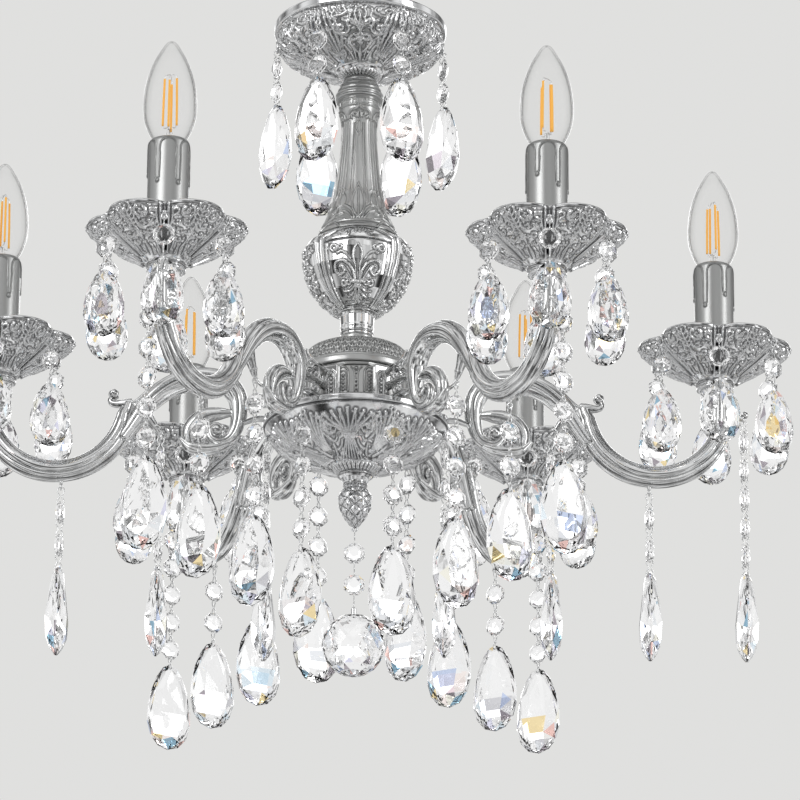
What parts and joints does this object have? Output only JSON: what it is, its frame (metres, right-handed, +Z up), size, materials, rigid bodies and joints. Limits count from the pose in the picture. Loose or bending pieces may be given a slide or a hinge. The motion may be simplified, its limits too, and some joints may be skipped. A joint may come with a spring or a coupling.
{
  "type": "crystal chandelier",
  "caption": "Semi-flush crystal chandelier: ornate chromed stem and scrolled arms with candle lamps, faceted bead strands, pear drops and a hanging crystal ball.",
  "frame": {"origin": "centre of the canopy's ceiling face, midway between the two ceiling screw holes", "axes": "+Z up into the ceiling, +X along arm 1 and along the mounting bar"},
  "size_m": [0.594, 0.5234, 0.4725],
  "materials": {
    "chrome_plate": "bright plated casting with dense relief",
    "candle_sleeve": "bright plated tube",
    "crystal": "clear cut crystal",
    "bulb_glass": "clear glass with amber filaments",
    "zinc_steel": "zinc plated",
    "white_plastic": "matt"
  },
  "bodies": {
    "frame": {"mounting_crossbar": "zinc_steel", "canopy_dish": "chrome_plate", "threaded_rod": "zinc_steel", "stem_column": "chrome_plate", "vase": "chrome_plate", "hub_dome": "chrome_plate", "hub_drum": "chrome_plate", "lower_bowl": "chrome_plate", "finial": "chrome_plate", "arm_1": "chrome_plate", "arm_2": "chrome_plate", "arm_3": "chrome_plate", "arm_4": "chrome_plate", "arm_5": "chrome_plate", "arm_6": "chrome_plate", "m10_nuts": "zinc_steel", "arm_screws": "zinc_steel", "candle_cups": "chrome_plate", "candle_sleeves": "candle_sleeve", "lamp_sockets": "white_plastic", "terminal_block": "white_plastic", "cup_pendants": "crystal"},
    "outer_crystal_strand_1": {"outer_crystal_strand_1": "crystal"},
    "outer_crystal_strand_2": {"outer_crystal_strand_2": "crystal"},
    "outer_crystal_strand_3": {"outer_crystal_strand_3": "crystal"},
    "outer_crystal_strand_4": {"outer_crystal_strand_4": "crystal"},
    "outer_crystal_strand_5": {"outer_crystal_strand_5": "crystal"},
    "outer_crystal_strand_6": {"outer_crystal_strand_6": "crystal"},
    "low_crystal_strand_1": {"low_crystal_strand_1": "crystal"},
    "low_crystal_strand_2": {"low_crystal_strand_2": "crystal"},
    "low_crystal_strand_3": {"low_crystal_strand_3": "crystal"},
    "low_crystal_strand_4": {"low_crystal_strand_4": "crystal"},
    "low_crystal_strand_5": {"low_crystal_strand_5": "crystal"},
    "low_crystal_strand_6": {"low_crystal_strand_6": "crystal"},
    "inner_crystal_strand_1": {"inner_crystal_strand_1": "crystal"},
    "inner_crystal_strand_2": {"inner_crystal_strand_2": "crystal"},
    "inner_crystal_strand_3": {"inner_crystal_strand_3": "crystal"},
    "inner_crystal_strand_4": {"inner_crystal_strand_4": "crystal"},
    "inner_crystal_strand_5": {"inner_crystal_strand_5": "crystal"},
    "inner_crystal_strand_6": {"inner_crystal_strand_6": "crystal"},
    "bowl_crystal_strand_1": {"bowl_crystal_strand_1": "crystal"},
    "bowl_crystal_strand_2": {"bowl_crystal_strand_2": "crystal"},
    "bowl_crystal_strand_3": {"bowl_crystal_strand_3": "crystal"},
    "bowl_crystal_strand_4": {"bowl_crystal_strand_4": "crystal"},
    "bowl_crystal_strand_5": {"bowl_crystal_strand_5": "crystal"},
    "bowl_crystal_strand_6": {"bowl_crystal_strand_6": "crystal"},
    "canopy_crystal_strand_1": {"canopy_crystal_strand_1": "crystal"},
    "canopy_crystal_strand_2": {"canopy_crystal_strand_2": "crystal"},
    "canopy_crystal_strand_3": {"canopy_crystal_strand_3": "crystal"},
    "canopy_crystal_strand_4": {"canopy_crystal_strand_4": "crystal"},
    "canopy_crystal_strand_5": {"canopy_crystal_strand_5": "crystal"},
    "canopy_crystal_strand_6": {"canopy_crystal_strand_6": "crystal"},
    "ball_strand": {"ball_strand": "crystal"},
    "bulb_1": {"bulb_1": "bulb_glass"},
    "bulb_2": {"bulb_2": "bulb_glass"},
    "bulb_3": {"bulb_3": "bulb_glass"},
    "bulb_4": {"bulb_4": "bulb_glass"},
    "bulb_5": {"bulb_5": "bulb_glass"},
    "bulb_6": {"bulb_6": "bulb_glass"}
  },
  "joints": [
    {"name": "ball_swing", "type": "hinge", "parent": "frame", "child": "ball_strand", "pos_m": [0, 0, -0.3696], "axis": [0, -1, 0], "range_deg": [-20, 20]},
    {"name": "bulb_1_lift", "type": "slide", "parent": "frame", "child": "bulb_1", "axis": [0, 0, 1], "range_m": [0, 0.04]},
    {"name": "bulb_2_lift", "type": "slide", "parent": "frame", "child": "bulb_2", "axis": [0, 0, 1], "range_m": [0, 0.04]},
    {"name": "bulb_3_lift", "type": "slide", "parent": "frame", "child": "bulb_3", "axis": [0, 0, 1], "range_m": [0, 0.04]},
    {"name": "bulb_4_lift", "type": "slide", "parent": "frame", "child": "bulb_4", "axis": [0, 0, 1], "range_m": [0, 0.04]},
    {"name": "bulb_5_lift", "type": "slide", "parent": "frame", "child": "bulb_5", "axis": [0, 0, 1], "range_m": [0, 0.04]},
    {"name": "bulb_6_lift", "type": "slide", "parent": "frame", "child": "bulb_6", "axis": [0, 0, 1], "range_m": [0, 0.04]},
    {"name": "outer_1_swing", "type": "hinge", "parent": "frame", "child": "outer_crystal_strand_1", "pos_m": [0.264, 0, -0.2893], "axis": [1, 0, 0], "range_deg": [-20, 20]},
    {"name": "outer_2_swing", "type": "hinge", "parent": "frame", "child": "outer_crystal_strand_2", "pos_m": [0.132, 0.22863, -0.2893], "axis": [0.5, 0.866, 0], "range_deg": [-20, 20]},
    {"name": "outer_3_swing", "type": "hinge", "parent": "frame", "child": "outer_crystal_strand_3", "pos_m": [-0.132, 0.22863, -0.2893], "axis": [-0.5, 0.866, 0], "range_deg": [-20, 20]},
    {"name": "outer_4_swing", "type": "hinge", "parent": "frame", "child": "outer_crystal_strand_4", "pos_m": [-0.264, 0, -0.2893], "axis": [-1, 0, 0], "range_deg": [-20, 20]},
    {"name": "outer_5_swing", "type": "hinge", "parent": "frame", "child": "outer_crystal_strand_5", "pos_m": [-0.132, -0.22863, -0.2893], "axis": [-0.5, -0.866, 0], "range_deg": [-20, 20]},
    {"name": "outer_6_swing", "type": "hinge", "parent": "frame", "child": "outer_crystal_strand_6", "pos_m": [0.132, -0.22863, -0.2893], "axis": [0.5, -0.866, 0], "range_deg": [-20, 20]},
    {"name": "low_1_swing", "type": "hinge", "parent": "frame", "child": "low_crystal_strand_1", "pos_m": [0.1993, 0, -0.342], "axis": [1, 0, 0], "range_deg": [-20, 20]},
    {"name": "low_2_swing", "type": "hinge", "parent": "frame", "child": "low_crystal_strand_2", "pos_m": [0.09965, 0.1726, -0.342], "axis": [0.5, 0.866, 0], "range_deg": [-20, 20]},
    {"name": "low_3_swing", "type": "hinge", "parent": "frame", "child": "low_crystal_strand_3", "pos_m": [-0.09965, 0.1726, -0.342], "axis": [-0.5, 0.866, 0], "range_deg": [-20, 20]},
    {"name": "low_4_swing", "type": "hinge", "parent": "frame", "child": "low_crystal_strand_4", "pos_m": [-0.1993, 0, -0.342], "axis": [-1, 0, 0], "range_deg": [-20, 20]},
    {"name": "low_5_swing", "type": "hinge", "parent": "frame", "child": "low_crystal_strand_5", "pos_m": [-0.09965, -0.1726, -0.342], "axis": [-0.5, -0.866, 0], "range_deg": [-20, 20]},
    {"name": "low_6_swing", "type": "hinge", "parent": "frame", "child": "low_crystal_strand_6", "pos_m": [0.09965, -0.1726, -0.342], "axis": [0.5, -0.866, 0], "range_deg": [-20, 20]},
    {"name": "inner_1_swing", "type": "hinge", "parent": "frame", "child": "inner_crystal_strand_1", "pos_m": [0.1325, 0, -0.3055], "axis": [1, 0, 0], "range_deg": [-20, 20]},
    {"name": "inner_2_swing", "type": "hinge", "parent": "frame", "child": "inner_crystal_strand_2", "pos_m": [0.06625, 0.11475, -0.3055], "axis": [0.5, 0.866, 0], "range_deg": [-20, 20]},
    {"name": "inner_3_swing", "type": "hinge", "parent": "frame", "child": "inner_crystal_strand_3", "pos_m": [-0.06625, 0.11475, -0.3055], "axis": [-0.5, 0.866, 0], "range_deg": [-20, 20]},
    {"name": "inner_4_swing", "type": "hinge", "parent": "frame", "child": "inner_crystal_strand_4", "pos_m": [-0.1325, 0, -0.3055], "axis": [-1, 0, 0], "range_deg": [-20, 20]},
    {"name": "inner_5_swing", "type": "hinge", "parent": "frame", "child": "inner_crystal_strand_5", "pos_m": [-0.06625, -0.11475, -0.3055], "axis": [-0.5, -0.866, 0], "range_deg": [-20, 20]},
    {"name": "inner_6_swing", "type": "hinge", "parent": "frame", "child": "inner_crystal_strand_6", "pos_m": [0.06625, -0.11475, -0.3055], "axis": [0.5, -0.866, 0], "range_deg": [-20, 20]},
    {"name": "bowl_1_swing", "type": "hinge", "parent": "frame", "child": "bowl_crystal_strand_1", "pos_m": [0.06072, -0.00585, -0.304], "axis": [0.9954, -0.0958, 0], "range_deg": [-15, 15]},
    {"name": "bowl_2_swing", "type": "hinge", "parent": "frame", "child": "bowl_crystal_strand_2", "pos_m": [0.03542, 0.04966, -0.304], "axis": [0.5807, 0.8141, 0], "range_deg": [-15, 15]},
    {"name": "bowl_3_swing", "type": "hinge", "parent": "frame", "child": "bowl_crystal_strand_3", "pos_m": [-0.0253, 0.05551, -0.304], "axis": [-0.4147, 0.91, 0], "range_deg": [-15, 15]},
    {"name": "bowl_4_swing", "type": "hinge", "parent": "frame", "child": "bowl_crystal_strand_4", "pos_m": [-0.06072, 0.00585, -0.304], "axis": [-0.9954, 0.0958, 0], "range_deg": [-15, 15]},
    {"name": "bowl_5_swing", "type": "hinge", "parent": "frame", "child": "bowl_crystal_strand_5", "pos_m": [-0.03542, -0.04966, -0.304], "axis": [-0.5807, -0.8141, 0], "range_deg": [-15, 15]},
    {"name": "bowl_6_swing", "type": "hinge", "parent": "frame", "child": "bowl_crystal_strand_6", "pos_m": [0.0253, -0.05551, -0.304], "axis": [0.4147, -0.91, 0], "range_deg": [-15, 15]},
    {"name": "canopy_1_swing", "type": "hinge", "parent": "frame", "child": "canopy_crystal_strand_1", "pos_m": [0.058, 0, -0.0185], "axis": [1, 0, 0], "range_deg": [-15, 15]},
    {"name": "canopy_2_swing", "type": "hinge", "parent": "frame", "child": "canopy_crystal_strand_2", "pos_m": [0.029, 0.05023, -0.0185], "axis": [0.5, 0.866, 0], "range_deg": [-15, 15]},
    {"name": "canopy_3_swing", "type": "hinge", "parent": "frame", "child": "canopy_crystal_strand_3", "pos_m": [-0.029, 0.05023, -0.0185], "axis": [-0.5, 0.866, 0], "range_deg": [-15, 15]},
    {"name": "canopy_4_swing", "type": "hinge", "parent": "frame", "child": "canopy_crystal_strand_4", "pos_m": [-0.058, 0, -0.0185], "axis": [-1, 0, 0], "range_deg": [-15, 15]},
    {"name": "canopy_5_swing", "type": "hinge", "parent": "frame", "child": "canopy_crystal_strand_5", "pos_m": [-0.029, -0.05023, -0.0185], "axis": [-0.5, -0.866, 0], "range_deg": [-15, 15]},
    {"name": "canopy_6_swing", "type": "hinge", "parent": "frame", "child": "canopy_crystal_strand_6", "pos_m": [0.029, -0.05023, -0.0185], "axis": [0.5, -0.866, 0], "range_deg": [-15, 15]}
  ]
}
